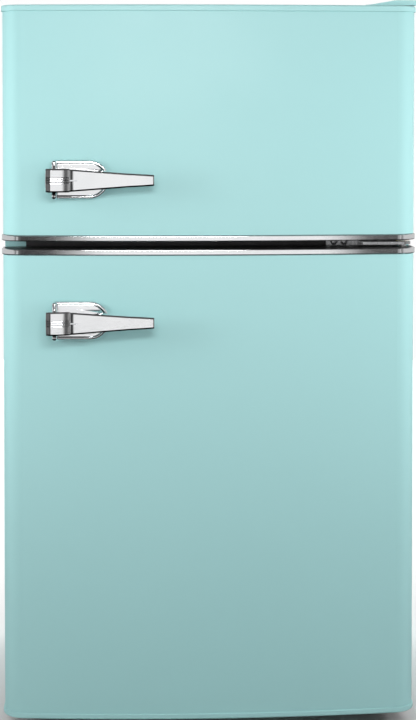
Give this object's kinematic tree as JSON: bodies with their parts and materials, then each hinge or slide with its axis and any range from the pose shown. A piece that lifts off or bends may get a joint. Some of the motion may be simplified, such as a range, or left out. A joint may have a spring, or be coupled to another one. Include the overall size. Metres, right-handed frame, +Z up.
{
  "type": "top freezer refrigerator",
  "caption": "Compact retro refrigerator with a top freezer: bowed mint doors hinged on the right, chrome latch-style handles and chrome bands, on an insulated cabinet.",
  "frame": {"origin": "on the floor under the middle of the overall box", "axes": "+X right as seen from the front, +Y from the doors to the rear, +Z up"},
  "size_m": [0.48, 0.503, 0.853],
  "materials": {
    "door_paint": "glossy mint enamel",
    "cap_paint": "glossy mint paint on moulded plastic",
    "cabinet_paint": "satin mint enamel",
    "chrome": "polished",
    "dark_plastic": "satin black",
    "white_plastic": "smooth white vacuum formed sheet",
    "clear_plastic": "clear moulded polystyrene",
    "lens_plastic": "frosted diffuser",
    "glass": "toughened clear glass",
    "gasket_rubber": "matt grey vinyl",
    "grommet_rubber": "matt black",
    "zinc_steel": "zinc plated",
    "galvanised_sheet": "galvanised sheet, dull",
    "rear_paint": "matt grey precoated sheet",
    "black_enamel": "semi-matt black enamel",
    "coated_wire": "white coated wire",
    "copper": "bare copper tube",
    "evaporator_metal": "mill finish",
    "foam": "rigid foam, hidden",
    "nylon": "natural nylon"
  },
  "bodies": {
    "cabinet": {"outer_shell": "cabinet_paint", "rear_panel": "rear_paint", "base_plate": "galvanised_sheet", "compressor_plate": "galvanised_sheet", "cabinet_foam": "foam", "freezer_liner": "white_plastic", "fridge_liner": "white_plastic", "mullion_cover": "dark_plastic", "top_hinge_bracket": "zinc_steel", "top_hinge_cover": "cap_paint", "middle_hinge_bracket": "zinc_steel", "bottom_hinge_bracket": "zinc_steel", "hinge_screws": "zinc_steel", "hinge_hole_plugs": "cap_paint", "rear_feet": "dark_plastic", "compressor": "black_enamel", "compressor_grommets": "grommet_rubber", "relay_cover": "dark_plastic", "evaporation_tray": "dark_plastic", "condenser_tube": "black_enamel", "condenser_wires": "black_enamel", "condenser_brackets": "dark_plastic", "filter_drier": "copper", "refrigerant_lines": "copper", "cord_gland": "grommet_rubber", "evaporator_plate": "evaporator_metal", "freezer_shelf": "coated_wire", "glass_shelves": "glass", "shelf_trims": "white_plastic", "thermostat_housing": "white_plastic", "lamp_lens": "lens_plastic"},
    "freezer_door": {"freezer_door_skin": "door_paint", "freezer_door_painted_cap": "cap_paint", "freezer_door_dark_cap": "dark_plastic", "freezer_door_trim": "chrome", "freezer_door_liner": "white_plastic", "freezer_door_foam": "foam", "freezer_door_gasket": "gasket_rubber", "freezer_door_bushes": "nylon", "freezer_handle_base": "chrome", "freezer_handle_lever": "chrome", "freezer_handle_pin": "chrome", "freezer_door_racks": "clear_plastic"},
    "fridge_door": {"fridge_door_skin": "door_paint", "fridge_door_painted_cap": "cap_paint", "fridge_door_dark_cap": "dark_plastic", "fridge_door_trim": "chrome", "fridge_door_liner": "white_plastic", "fridge_door_foam": "foam", "fridge_door_gasket": "gasket_rubber", "fridge_door_bushes": "nylon", "fridge_handle_base": "chrome", "fridge_handle_lever": "chrome", "fridge_handle_pin": "chrome", "fridge_door_bins": "clear_plastic"},
    "thermostat_knob": {"thermostat_dial": "white_plastic"},
    "lamp_switch": {"switch_plunger": "white_plastic"},
    "crisper": {"crisper_drawer": "clear_plastic"},
    "left_foot": {"front_foot_left": "dark_plastic"},
    "right_foot": {"front_foot_right": "dark_plastic"}
  },
  "joints": [
    {"name": "freezer_door_hinge", "type": "hinge", "parent": "cabinet", "child": "freezer_door", "pos_m": [0.2273, -0.1775, 0.711], "axis": [0, 0, 1], "range_deg": [0, 135]},
    {"name": "fridge_door_hinge", "type": "hinge", "parent": "cabinet", "child": "fridge_door", "pos_m": [0.2273, -0.1775, 0.2945], "axis": [0, 0, 1], "range_deg": [0, 135]},
    {"name": "crisper_slide", "type": "slide", "parent": "cabinet", "child": "crisper", "axis": [0, -1, 0], "range_m": [0, 0.1]},
    {"name": "lamp_switch_slide", "type": "slide", "parent": "cabinet", "child": "lamp_switch", "axis": [0, -1, 0], "range_m": [0, 0.006]},
    {"name": "thermostat_turn", "type": "hinge", "parent": "cabinet", "child": "thermostat_knob", "pos_m": [0.096, -0.1255, 0.533], "axis": [0, -1, 0], "range_deg": [0, 300]},
    {"name": "left_foot_turn", "type": "hinge", "parent": "cabinet", "child": "left_foot", "pos_m": [-0.208, -0.1155, 0.02], "axis": [0, 0, 1], "range_deg": [-360, 360]},
    {"name": "right_foot_turn", "type": "hinge", "parent": "cabinet", "child": "right_foot", "pos_m": [0.208, -0.1155, 0.02], "axis": [0, 0, 1], "range_deg": [-360, 360]}
  ],
  "couplings": [
    {"joint": "crisper_slide", "follows": "fridge_door_hinge", "m_per_rad": 0.0424},
    {"joint": "lamp_switch_slide", "follows": "fridge_door_hinge", "m_per_rad": 0.002546}
  ]
}
